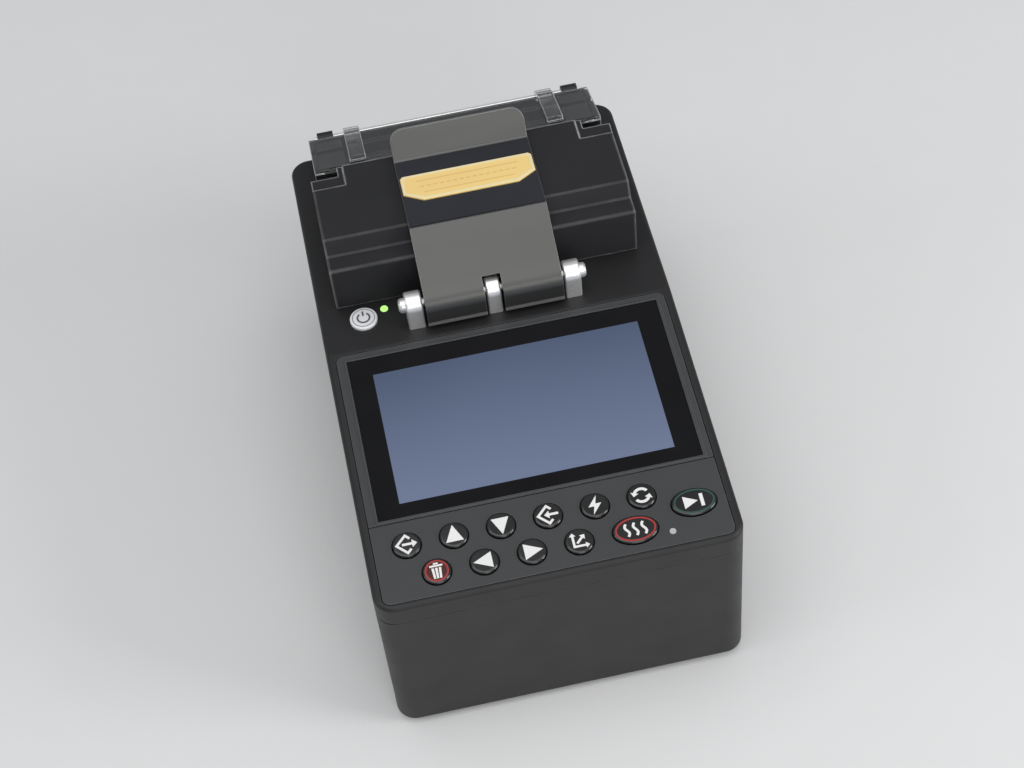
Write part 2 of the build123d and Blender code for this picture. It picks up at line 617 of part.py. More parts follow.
with BuildPart() as wind_cover:
    add(hood_block(0, HOOD_Z[0]))
    add(hood_block(HOOD_WALL, HOOD_Z[0] - 1), mode=Mode.SUBTRACT)
    # slots where the fibers leave, and screw holes under the strap
    block((-HOOD_W / 2 - 1, HOOD_W / 2 + 1), (FIBER_Y - 1.6, FIBER_Y + 1.6), (HOOD_Z[0] - 1, FIBER_Z + 2),
          Mode.SUBTRACT)
    with BuildSketch(Plane.XY.offset(HOOD_Z[1] - HOOD_WALL - 1)):
        with Locations((0, STRAP_SCREW_Y)):
            with GridLocations(*STRAP_SCREW_SPACING, 2, 2):
                Circle(1.5)
    extrude(amount=HOOD_WALL + 2, mode=Mode.SUBTRACT)
save(wind_cover, "wind_cover")

with BuildPart() as strap_screws:
    ceiling = HOOD_Z[1] - HOOD_WALL
    with BuildSketch(Plane.XY.offset(ceiling - 1.8)):
        with Locations((0, STRAP_SCREW_Y)):
            with GridLocations(*STRAP_SCREW_SPACING, 2, 2):
                Circle(2.8)
    extrude(amount=1.8)
    with BuildSketch(Plane.XY.offset(ceiling)):
        with Locations((0, STRAP_SCREW_Y)):
            with GridLocations(*STRAP_SCREW_SPACING, 2, 2):
                Circle(1.48)
    extrude(amount=HOOD_WALL + STRAP_T)
save(strap_screws, "strap_screws")

with BuildPart() as hood_lamps:
    for y in (FIBER_Y - 6, FIBER_Y + 6):
        rod_z(0, y, 2.4, ceiling - 2, ceiling)
        rod_z(0, y, 1.5, ceiling - 4, ceiling - 2)
save(hood_lamps, "hood_lamps")

with BuildPart() as pressure_feet:
    for side in (-1, 1):
        block(sorted((side * 3.6, side * 9.0)), (FIBER_Y - 4, FIBER_Y + 4), (ceiling - 6, ceiling))
        rod_z(side * 6.3, FIBER_Y, 1.6, V_TOP + 3.2, ceiling - 6)
        block(sorted((side * 4.3, side * 8.3)), (FIBER_Y - 2, FIBER_Y + 2), (V_TOP + 0.5, V_TOP + 3.2))
save(pressure_feet, "pressure_feet")

# ---- splice mechanism ----------------------------------------------------------------------------
with BuildPart() as splice_base:
    block((-51, 51), (30, 64), (BAY_FLOOR, BASE_TOP))
    for side in (-1, 1):
        for y0, y1 in ((31, 40), (53, 63)):
            block(sorted((side * 47.5, side * 51)), (y0, y1), (BASE_TOP, ROD_Z + 4))
    for y in ROD_Y:
        rod_x(y, ROD_Z, ROD_R, -52, 52, Mode.SUBTRACT)
save(splice_base, "splice_base")

with BuildPart() as guide_rods:
    for y in ROD_Y:
        rod_x(y, ROD_Z, ROD_R, -51, 51)
save(guide_rods, "guide_rods")

with BuildPart() as v_groove_block:
    for side in (-1, 1):
        span = sorted((side * 2.6, side * 10))
        block(span, (41, 52), (BASE_TOP, V_TOP))
        vee = [(FIBER_Y - 0.8, V_TOP + 0.1), (FIBER_Y, V_TOP - 0.9), (FIBER_Y + 0.8, V_TOP + 0.1)]
        profile_x(vee, *span, Mode.SUBTRACT)
save(v_groove_block, "v_groove_block")

ELECTRODE_R = 1.0
with BuildPart() as electrodes:
    for side in (-1, 1):
        tail = FIBER_Y + side * 15.0
        collar = FIBER_Y + side * 5.0
        tip = FIBER_Y + side * 1.2
        outline = [(tail, FIBER_Z), (tail, FIBER_Z + ELECTRODE_R), (collar, FIBER_Z + ELECTRODE_R), (tip, FIBER_Z)]
        with BuildSketch(Plane.YZ):
            with BuildLine():
                Polyline(*outline, close=True)
            make_face()
        revolve(axis=Axis((0, 0, FIBER_Z), (0, 1, 0)))
save(electrodes, "electrodes")

with BuildPart() as electrode_holders:
    for y0, y1 in ((31, 37), (56, 62)):
        block((-6, 6), (y0, y1), (BASE_TOP, 90))
        fillet(electrode_holders.edges().filter_by(Axis.Y).filter_by(
            lambda e, m=(y0 + y1) / 2: abs(e.center().Y - m) < 1 and e.center().Z > 89), radius=1)
    with BuildSketch(Plane.XZ.offset(-70)):
        with Locations((0, FIBER_Z)):
            Circle(ELECTRODE_R)
    extrude(amount=45, mode=Mode.SUBTRACT)
    for y in (34, 59):
        rod_z(0, y, 1.0, FIBER_Z, 91, Mode.SUBTRACT)
    for y in ROD_Y:
        rod_x(y, ROD_Z, ROD_R + RUN_FIT, -10, 10, Mode.SUBTRACT)
save(electrode_holders, "electrode_holders")

with BuildPart() as electrode_thumbscrews:
    for y in (34, 59):
        with BuildSketch(Plane.XY.offset(90.1)):
            with Locations((0, y)):
                Circle(2.6)
            with Locations((0, y)):
                with PolarLocations(2.6, 12):
                    Circle(0.28, mode=Mode.SUBTRACT)
        extrude(amount=3.2)
        rod_z(0, y, 0.98, FIBER_Z + ELECTRODE_R + 0.05, 90.1)
save(electrode_thumbscrews, "electrode_thumbscrews")

with BuildPart() as objective_lenses:
    for side in (-1, 1):
        sight = Vector(0, side * cos(radians(45)), -sin(radians(45)))
        start = Vector(0, FIBER_Y, FIBER_Z) + sight * 4.5
        with BuildSketch(Plane(origin=start, x_dir=(1, 0, 0), z_dir=sight)):
            Circle(2.1)
        extrude(amount=6)
save(objective_lenses, "objective_lenses")

with BuildPart() as feed_actuators:
    for side in (-1, 1):
        rod_x(FIBER_Y, ROD_Z, ACTUATOR_R, *sorted((side * 42.5, side * 50.5)))
    rod_x(FIBER_Y, ROD_Z, PLUNGER_R + RUN_FIT, -55, 55, Mode.SUBTRACT)
save(feed_actuators, "feed_actuators")


def carriage(side):
    """Sliding carriage with the sheath bed, hinge ears and the plunger that drives it."""
    inner, outer = CARRIAGE_X
    span = sorted((side * inner, side * outer))
    with BuildPart() as slide:
        block(span, (31.5, 61.5), (BASE_TOP + 0.4, 84))
        block(span, (40, 53), (84, V_TOP))
        for a, b in ((inner, inner + 2.4), (outer - 2.4, outer)):
            ear = sorted((side * a, side * b))
            block(ear, (CLAMP_PIN_Y - 2.2, CLAMP_PIN_Y + 2.2), (84, CLAMP_PIN_Z))
            rod_x(CLAMP_PIN_Y, CLAMP_PIN_Z, 2.2, *ear)
        rod_x(FIBER_Y, ROD_Z, PLUNGER_R, *sorted((side * (outer - 1), side * (outer + 9))))
        for y in ROD_Y:
            rod_x(y, ROD_Z, ROD_R + RUN_FIT, -60, 60, Mode.SUBTRACT)
        rod_x(CLAMP_PIN_Y, CLAMP_PIN_Z, CLAMP_PIN_R, -60, 60, Mode.SUBTRACT)
        vee = [(FIBER_Y - 1.2, V_TOP + 0.1), (FIBER_Y, V_TOP - 1.2), (FIBER_Y + 1.2, V_TOP + 0.1)]
        profile_x(vee, -60, 60, Mode.SUBTRACT)
    return slide


def sheath_clamp(side):
    """Hinged clamp with a knuckle at the back, a pad over the sheath bed and a lift tab in front."""
    inner, outer = CARRIAGE_X
    span = sorted((side * (inner + 2.8), side * (outer - 2.8)))
    with BuildPart() as clamp:
        arm = [
            (37.5, V_TOP + 0.9),
            (39.5, V_TOP + 0.4),
            (55.6, V_TOP + 0.4),
            (CLAMP_PIN_Y, CLAMP_PIN_Z),
            (CLAMP_PIN_Y + 1.4, CLAMP_PIN_Z + 1.4),
            (56.0, V_TOP + 5.2),
            (41.0, V_TOP + 5.2),
            (37.5, V_TOP + 2.4),
        ]
        profile_x(arm, *span)
        rod_x(CLAMP_PIN_Y, CLAMP_PIN_Z, 2.1, *span)
        rod_x(CLAMP_PIN_Y, CLAMP_PIN_Z, CLAMP_PIN_R + RUN_FIT, -60, 60, Mode.SUBTRACT)
        middle = side * (inner + outer) / 2
        block((middle - 4, middle + 4), (34.5, 39), (V_TOP + 1.0, V_TOP + 2.4))
    return clamp


def clamp_pin(side):
    """Hinge pin of one sheath clamp."""
    with BuildPart() as pin:
        rod_x(CLAMP_PIN_Y, CLAMP_PIN_Z, CLAMP_PIN_R, *sorted((side * CARRIAGE_X[0], side * CARRIAGE_X[1])))
    return pin


for side, word in ((-1, "left"), (1, "right")):
    save(carriage(side), f"feed_carriage_{word}")
    save(sheath_clamp(side), f"sheath_clamp_{word}")
    save(clamp_pin(side), f"clamp_pin_{word}")

# ---- heater --------------------------------------------------------------------------------------


def lid_z(y):
    """Height of the heater lid's top face at depth y."""
    return LID_Z0 - LID_FALL * (y - LID_Y[0])


REST_GAP = 0.4
with BuildPart() as heater_housing:
    under = LID_T + REST_GAP
    side_wall = [
        (HEAT_Y0, DECK_Z),
        (HEAT_Y0, lid_z(HEAT_Y0) - under),
        (95, lid_z(95) - under),
        (96.5, 91.0),
        (BACK_Y, 91.0),
        (BACK_Y, DECK_Z),
    ]
    profile_x(side_wall, -HEAT_W / 2, HEAT_W / 2)
    inner_x = HEAT_W / 2 - HEAT_WALL
    inner_y = (HEAT_Y0 + HEAT_FRONT, BACK_Y - HEAT_WALL)
    block((-inner_x, inner_x), inner_y, (DECK_Z + 2, 120), Mode.SUBTRACT)
    for side in (-1, 1):
        lug = sorted((side * 44, side * 50))
        block(lug, (HEAT_PIN_Y - CURL_R, BACK_Y - 0.5), (DECK_Z + 1, HEAT_PIN_Z))
        rod_x(HEAT_PIN_Y, HEAT_PIN_Z, CURL_R, *lug)
    rod_x(HEAT_PIN_Y, HEAT_PIN_Z, HEAT_PIN_R, -52, 52, Mode.SUBTRACT)
    block((-HEAT_W, HEAT_W), (TROUGH_Y - 1.6, TROUGH_Y + 1.6), (91, 120), Mode.SUBTRACT)
save(heater_housing, "heater_housing")

with BuildPart() as heater_trough:
    block((-36, 36), (TROUGH_Y - TROUGH_W / 2, TROUGH_Y + TROUGH_W / 2), (DECK_Z + 2, 95.5))
    block((-37, 37), (TROUGH_Y - TROUGH_GAP / 2, TROUGH_Y + TROUGH_GAP / 2), (88, 96), Mode.SUBTRACT)
save(heater_trough, "heater_trough")

with BuildPart() as heater_end_blocks:
    for side in (-1, 1):
        span = sorted((side * 41.5, side * 51.4))
        top = [
            (75, DECK_Z + 2),
            (75, lid_z(75) - under - 0.4),
            (94.6, lid_z(94.6) - under - 0.4),
            (94.6, DECK_Z + 2),
        ]
        profile_x(top, *span)
    block((-60, 60), (TROUGH_Y - 1.6, TROUGH_Y + 1.6), (91, 120), Mode.SUBTRACT)
save(heater_end_blocks, "heater_end_blocks")

with BuildPart() as heater_hinge_pin:
    rod_x(HEAT_PIN_Y, HEAT_PIN_Z, HEAT_PIN_R, -51, 51)
save(heater_hinge_pin, "heater_hinge_pin")

with BuildPart() as heater_lid:
    sheet = [
        (LID_Y[0], 99.5),
        (LID_Y[0], lid_z(LID_Y[0])),
        (LID_Y[1], lid_z(LID_Y[1])),
        (LID_Y[1], lid_z(LID_Y[1]) - LID_T),
        (LID_Y[0] + 1.6, lid_z(LID_Y[0] + 1.6) - LID_T),
        (LID_Y[0] + 1.6, 99.5),
    ]
    profile_x(sheet, -HEAT_W / 2, HEAT_W / 2)
    fillet(heater_lid.edges().filter_by(Axis.X).sort_by(Axis.Z)[-1], radius=1.0)
save(heater_lid, "heater_lid")

with BuildPart() as lid_brackets:
    for side in (-1, 1):
        span = sorted((side * BRACKET_X[0], side * BRACKET_X[1]))
        strip = [
            (73.0, lid_z(73.0)),
            (73.0, lid_z(73.0) + 0.9),
            (74.5, lid_z(74.5) + 1.9),
            (94.0, lid_z(94.0) + 1.9),
            (HEAT_PIN_Y + 1.6, HEAT_PIN_Z + 2.0),
            (HEAT_PIN_Y, HEAT_PIN_Z),
            (LID_Y[1] + 0.1, lid_z(LID_Y[1]) - 1.2),
            (LID_Y[1] + 0.1, lid_z(LID_Y[1] + 0.1)),
        ]
        profile_x(strip, *span)
        rod_x(HEAT_PIN_Y, HEAT_PIN_Z, CURL_R, *span)
    rod_x(HEAT_PIN_Y, HEAT_PIN_Z, HEAT_PIN_R + RUN_FIT, -60, 60, Mode.SUBTRACT)
save(lid_brackets, "lid_brackets")
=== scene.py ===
import json
from math import cos, hypot, pi, radians, sin

import bmesh
import bpy
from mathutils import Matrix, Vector


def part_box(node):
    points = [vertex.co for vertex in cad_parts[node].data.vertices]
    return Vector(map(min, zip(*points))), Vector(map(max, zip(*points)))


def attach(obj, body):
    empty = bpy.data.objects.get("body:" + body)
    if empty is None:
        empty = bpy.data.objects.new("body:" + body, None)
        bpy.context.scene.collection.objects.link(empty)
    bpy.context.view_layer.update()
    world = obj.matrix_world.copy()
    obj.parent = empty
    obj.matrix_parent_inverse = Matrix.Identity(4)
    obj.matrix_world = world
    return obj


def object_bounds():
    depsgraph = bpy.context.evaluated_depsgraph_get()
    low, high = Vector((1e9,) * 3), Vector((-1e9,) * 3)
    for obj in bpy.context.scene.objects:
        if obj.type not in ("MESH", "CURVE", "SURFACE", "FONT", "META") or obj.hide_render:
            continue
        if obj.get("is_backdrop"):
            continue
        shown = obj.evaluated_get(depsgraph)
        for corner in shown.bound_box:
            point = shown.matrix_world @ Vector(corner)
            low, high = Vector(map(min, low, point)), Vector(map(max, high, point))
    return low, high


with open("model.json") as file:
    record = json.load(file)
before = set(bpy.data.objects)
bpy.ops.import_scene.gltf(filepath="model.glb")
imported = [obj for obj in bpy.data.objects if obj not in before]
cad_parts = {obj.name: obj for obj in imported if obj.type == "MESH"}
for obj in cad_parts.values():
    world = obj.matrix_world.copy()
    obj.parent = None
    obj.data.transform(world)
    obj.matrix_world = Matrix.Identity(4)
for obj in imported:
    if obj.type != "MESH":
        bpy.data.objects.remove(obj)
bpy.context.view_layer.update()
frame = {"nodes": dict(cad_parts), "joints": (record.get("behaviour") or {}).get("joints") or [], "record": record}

NODES = frame["nodes"]
JOINTS = {joint["name"]: joint for joint in frame["joints"]}
MM = 0.001

# The keys press straight into the tilted front panel, so their joint gives the panel's own directions.
PANEL_UP = -Vector(JOINTS["key_up_press"]["axis"]).normalized()
PANEL_X = Vector((1, 0, 0))
PANEL_Y = PANEL_UP.cross(PANEL_X)
DECK_UP = Vector((0, 0, 1))
DECK_Y = Vector((0, 1, 0))

# Sizes in millimetres
DISPLAY_HALF = (47.52, 26.93)  # half of the lit display, along the panel
DISPLAY_Y = -35.5              # middle of the display
ROUND_RING = 4.0               # outer radius of a ring printed on a round key
OVAL_RING = 6.9                # half width of a ring printed on an oval key
OVAL_SQUASH = 4.65 / 7.15      # height of an oval key over its width
PRINT_DEPTH = 0.02             # how far a mark reaches under the surface
PRINT_STEP = 0.002             # extra height of each further shape of a mark
BADGE_CUT = (6.8, 4.0)         # chamfer of the badge's front corners
BADGE_CORNER = 1.0             # chamfer of its rear corners
BORDER_INSET, BORDER_W = 0.3, 0.8

EDGE_HIGHLIGHT_WEAR_MIN, EDGE_HIGHLIGHT_WEAR_MAX = 0.995, 0.86  # cosine of the bend at which an edge starts to get, and fully gets, its painted highlight (on metals also rubbed wear)
RELIEF = 0.1 * MM                 # depth of the finishes' fine relief
SPECK_GAIN = 2.2                  # how much lighter the specks in a moulded plastic are


# ---- camera, floor and light --------------------------------------------------------------------------
def camera():
    """Camera in the photograph's viewing position, turned to the object with the photograph's roll."""
    low, high = (Vector(corner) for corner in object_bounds())
    place = Vector((-0.0489, -0.4775, 0.6528))
    photo_aim = Vector((0.1847, 0.7205, -0.6684)).normalized()
    photo_up = Vector((0.1789, 0.6441, 0.7437)).normalized()
    target = Vector(((low.x + high.x) / 2 + 0.001, -0.006, 0.058))
    aim = (target - place).normalized()
    up = photo_aim.rotation_difference(aim) @ photo_up
    right = aim.cross(up).normalized()
    up = right.cross(aim)
    data = bpy.data.cameras.new("camera")
    data.lens = 74
    data.clip_start = 0.01
    shot = bpy.data.objects.new("camera", data)
    bpy.context.scene.collection.objects.link(shot)
    for column, axis in enumerate((right, up, -aim)):
        for row in range(3):
            shot.matrix_world[row][column] = axis[row]
    shot.matrix_world.translation = place
    bpy.context.scene.camera = shot


def soft_light(name, place, size, power, target=(0, 0, 0.06)):
    """Square studio light pointed at the object."""
    data = bpy.data.lights.new(name, "AREA")
    data.size = size
    data.energy = power
    lamp = bpy.data.objects.new(name, data)
    bpy.context.scene.collection.objects.link(lamp)
    lamp.location = place
    lamp.rotation_euler = (Vector(target) - Vector(place)).to_track_quat("-Z", "Y").to_euler()


def studio():
    """Plain pale floor, dim even surround, a large soft light above, small ones in front and at the sides."""
    bpy.context.scene.view_settings.view_transform = "Standard"
    world = bpy.data.worlds.new("surround")
    world.use_nodes = True
    world.node_tree.nodes["Background"].inputs["Color"].default_value = (0.95, 0.97, 1.0, 1)
    world.node_tree.nodes["Background"].inputs["Strength"].default_value = 0.30
    bpy.context.scene.world = world
    soft_light("overhead", (-0.15, -0.30, 1.75), 1.9, 15.2)
    soft_light("front", (0.15, -1.25, 0.62), 0.7, 2.7)
    soft_light("right_edge", (1.1, -0.55, 0.62), 0.5, 6.5)
    soft_light("left_fill", (-1.15, -0.1, 0.75), 0.6, 1.8)
    mesh = bpy.data.meshes.new("floor")
    build = bmesh.new()
    bmesh.ops.create_grid(build, x_segments=2, y_segments=2, size=3)
    build.to_mesh(mesh)
    build.free()
    floor = bpy.data.objects.new("floor", mesh)
    bpy.context.scene.collection.objects.link(floor)
    paper = surface("floor_paper", (0.80, 0.80, 0.80), 0.7, spread=0.004, grain=60, bump=0.0)
    mesh.materials.append(paper)
    floor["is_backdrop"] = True


# ---- materials ------------------------------------------------------------------------------------------
def link(tree, source, target):
    """Join one node's output to another's input."""
    tree.links.new(source, target)


def noise(tree, coords, scale, detail=3.0, stretch=(1, 1, 1)):
    """Noise texture in the object's own coordinates, stretched along the axes if asked."""
    mapping = tree.nodes.new("ShaderNodeMapping")
    mapping.inputs["Scale"].default_value = stretch
    texture = tree.nodes.new("ShaderNodeTexNoise")
    texture.inputs["Scale"].default_value = scale
    texture.inputs["Detail"].default_value = detail
    link(tree, coords, mapping.inputs["Vector"])
    link(tree, mapping.outputs["Vector"], texture.inputs["Vector"])
    return texture.outputs["Fac"]


def spread_between(tree, factor, low, high):
    """Turn a noise value into a number between low and high."""
    span = tree.nodes.new("ShaderNodeMapRange")
    span.inputs["From Min"].default_value = 0.3
    span.inputs["From Max"].default_value = 0.7
    span.inputs["To Min"].default_value = low
    span.inputs["To Max"].default_value = high
    link(tree, factor, span.inputs["Value"])
    return span.outputs["Result"]


def mix(tree, factor, first, second):
    """Mix two colours by a factor. Each colour is a tuple or another node's output."""
    node = tree.nodes.new("ShaderNodeMix")
    node.data_type = "RGBA"
    link(tree, factor, node.inputs["Factor"])
    for name, value in (("A", first), ("B", second)):
        entry = [i for i in node.inputs if i.name == name and i.type == "RGBA"][0]
        if isinstance(value, tuple):
            entry.default_value = (*value, 1)
        else:
            link(tree, value, entry)
    return [o for o in node.outputs if o.type == "RGBA"][0]


def edge_mask(tree, radius):
    """White along sharp edges, black on flat stretches."""
    bevel = tree.nodes.new("ShaderNodeBevel")
    bevel.samples = 4
    bevel.inputs["Radius"].default_value = radius
    shape = tree.nodes.new("ShaderNodeNewGeometry")
    dot = tree.nodes.new("ShaderNodeVectorMath")
    dot.operation = "DOT_PRODUCT"
    link(tree, bevel.outputs["Normal"], dot.inputs[0])
    link(tree, shape.outputs["Normal"], dot.inputs[1])
    span = tree.nodes.new("ShaderNodeMapRange")
    span.inputs["From Min"].default_value = EDGE_HIGHLIGHT_WEAR_MIN
    span.inputs["From Max"].default_value = EDGE_HIGHLIGHT_WEAR_MAX
    link(tree, dot.outputs["Value"], span.inputs["Value"])
    return span.outputs["Result"]


def surface(name, base, roughness, metallic=0.0, spread=0.06, grain=900.0, bump=0.12, stretch=(1, 1, 1),
            rough_spread=0.04, edge=None, edge_radius=0.0004, speck=0.0, **sockets):
    """Procedural finish: mottled colour, uneven gloss, fine relief and, if edge is a colour, edges lightened
    towards it as a painted highlight, on metals also as rubbed wear.
    """
    material = bpy.data.materials.new(name)
    material.use_nodes = True
    tree = material.node_tree
    shader = tree.nodes["Principled BSDF"]
    coords = tree.nodes.new("ShaderNodeTexCoord").outputs["Object"]
    broad = spread_between(tree, noise(tree, coords, 60.0, 4.0, stretch), 0, 1)
    dark = tuple(c * (1 - spread) for c in base)
    light = tuple(min(1.0, c * (1 + spread)) for c in base)
    colour = mix(tree, broad, dark, light)
    fine = noise(tree, coords, grain, 2.0, stretch)
    if speck:
        specks = tuple(min(1.0, SPECK_GAIN * c) for c in base)
        colour = mix(tree, spread_between(tree, fine, 0, speck), colour, specks)
    # painted highlight: edges lightened towards the edge colour in noisy patches, on metals also standing for
    # rubbed wear
    if edge:
        highlight_and_wear = tree.nodes.new("ShaderNodeMath")
        highlight_and_wear.operation = "MULTIPLY"
        link(tree, edge_mask(tree, edge_radius), highlight_and_wear.inputs[0])
        link(tree, spread_between(tree, noise(tree, coords, 160.0), 0.55, 1.0), highlight_and_wear.inputs[1])
        colour = mix(tree, highlight_and_wear.outputs["Value"], colour, edge)
    link(tree, colour, shader.inputs["Base Color"])
    gloss = spread_between(tree, noise(tree, coords, 70.0, 5.0, stretch), roughness - rough_spread,
                           roughness + rough_spread)
    link(tree, gloss, shader.inputs["Roughness"])
    shader.inputs["Metallic"].default_value = metallic
    if bump:
        relief = tree.nodes.new("ShaderNodeBump")
        relief.inputs["Strength"].default_value = bump
        relief.inputs["Distance"].default_value = RELIEF
        link(tree, fine, relief.inputs["Height"])
        if edge:
            soft = tree.nodes.new("ShaderNodeBevel")
            soft.samples = 4
            soft.inputs["Radius"].default_value = edge_radius
            link(tree, soft.outputs["Normal"], relief.inputs["Normal"])
        link(tree, relief.outputs["Normal"], shader.inputs["Normal"])
    for socket, value in sockets.items():
        shader.inputs[socket.replace("_", " ")].default_value = value
    return material


def inside_box(tree, coords, half, middle):
    """1 inside a rectangle seen from above, 0 outside it, with an edge a tenth of a millimetre wide."""
    split = tree.nodes.new("ShaderNodeSeparateXYZ")
    link(tree, coords, split.inputs["Vector"])
    sides = []
    for axis, size, centre in zip("XY", half, middle):
        offset = tree.nodes.new("ShaderNodeMath")
        offset.operation = "SUBTRACT"
        offset.inputs[1].default_value = centre
        away = tree.nodes.new("ShaderNodeMath")
        away.operation = "ABSOLUTE"
        link(tree, split.outputs[axis], offset.inputs[0])
        link(tree, offset.outputs["Value"], away.inputs[0])
        span = tree.nodes.new("ShaderNodeMapRange")
        span.inputs["From Min"].default_value = size + 0.05 * MM
        span.inputs["From Max"].default_value = size - 0.05 * MM
        link(tree, away.outputs["Value"], span.inputs["Value"])
        sides.append(span.outputs["Result"])
    both = tree.nodes.new("ShaderNodeMath")
    both.operation = "MULTIPLY"
    link(tree, sides[0], both.inputs[0])
    link(tree, sides[1], both.inputs[1])
    return both.outputs["Value"], split


def screen_glass():
    """Cover glass: black printed border round a lit blue-grey display that fades towards the top."""
    material = bpy.data.materials.new("screen_glass")
    material.use_nodes = True
    tree = material.node_tree
    shader = tree.nodes["Principled BSDF"]
    coords = tree.nodes.new("ShaderNodeTexCoord").outputs["Object"]
    low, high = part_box("lcd_module")
    middle = ((low.x + high.x) / 2, DISPLAY_Y * MM)
    half = (DISPLAY_HALF[0] * MM, DISPLAY_HALF[1] * MM * PANEL_Y.y)
    lit, split = inside_box(tree, coords, half, middle)
    fade = tree.nodes.new("ShaderNodeMapRange")
    fade.inputs["From Min"].default_value = middle[1] - half[1]
    fade.inputs["From Max"].default_value = middle[1] + half[1]
    link(tree, split.outputs["Y"], fade.inputs["Value"])
    cloud = spread_between(tree, noise(tree, coords, 9.0, 2.0), -0.12, 0.12)
    shade = tree.nodes.new("ShaderNodeMath")
    shade.operation = "ADD"
    shade.use_clamp = True
    link(tree, fade.outputs["Result"], shade.inputs[0])
    link(tree, cloud, shade.inputs[1])
    picture = mix(tree, shade.outputs["Value"], (0.155, 0.190, 0.290), (0.070, 0.094, 0.155))
    border = mix(tree, spread_between(tree, noise(tree, coords, 60.0), 0, 1), (0.003, 0.003, 0.004),
                 (0.005, 0.005, 0.006))
    unlit = mix(tree, fade.outputs["Result"], (0.045, 0.055, 0.09), (0.030, 0.038, 0.068))
    link(tree, mix(tree, lit, border, unlit), shader.inputs["Base Color"])
    glow = mix(tree, lit, (0.0, 0.0, 0.0), picture)
    link(tree, glow, shader.inputs["Emission Color"])
    shader.inputs["Emission Strength"].default_value = 0.72
    link(tree, spread_between(tree, noise(tree, coords, 30.0, 5.0), 0.05, 0.12), shader.inputs["Roughness"])
    shader.inputs["Specular IOR Level"].default_value = 0.35
    return material


def clear_plastic():
    """Clear acrylic with faint haze and edges painted pale as a highlight, standing also for frosted cut edges."""
    material = bpy.data.materials.new("clear_acrylic")
    material.use_nodes = True
    tree = material.node_tree
    shader = tree.nodes["Principled BSDF"]
    coords = tree.nodes.new("ShaderNodeTexCoord").outputs["Object"]
    haze = spread_between(tree, noise(tree, coords, 80.0, 4.0), 0.02, 0.06)
    cloud = spread_between(tree, noise(tree, coords, 25.0), 0, 1)
    tint = mix(tree, cloud, (0.88, 0.91, 0.92), (0.95, 0.96, 0.96))
    # painted highlight: the edges are paler and less clear so they show as bright lines, partly also frosted cut
    # edges
    rim_highlight = edge_mask(tree, 0.0005)
    link(tree, mix(tree, rim_highlight, tint, (0.95, 0.97, 0.98)), shader.inputs["Base Color"])
    link(tree, haze, shader.inputs["Roughness"])
    clear = tree.nodes.new("ShaderNodeMapRange")
    clear.inputs["To Min"].default_value = 1.0
    clear.inputs["To Max"].default_value = 0.35
    link(tree, rim_highlight, clear.inputs["Value"])
    link(tree, clear.outputs["Result"], shader.inputs["Transmission Weight"])
    shader.inputs["IOR"].default_value = 1.49
    return material


def glowing(name, base, strength):
    """Small lamp lens that gives a little light of its own colour."""
    material = surface(name, base, 0.18, spread=0.15, grain=2500, bump=0.05)
    shader = material.node_tree.nodes["Principled BSDF"]
    shader.inputs["Emission Color"].default_value = (*base, 1)
    shader.inputs["Emission Strength"].default_value = strength
    return material


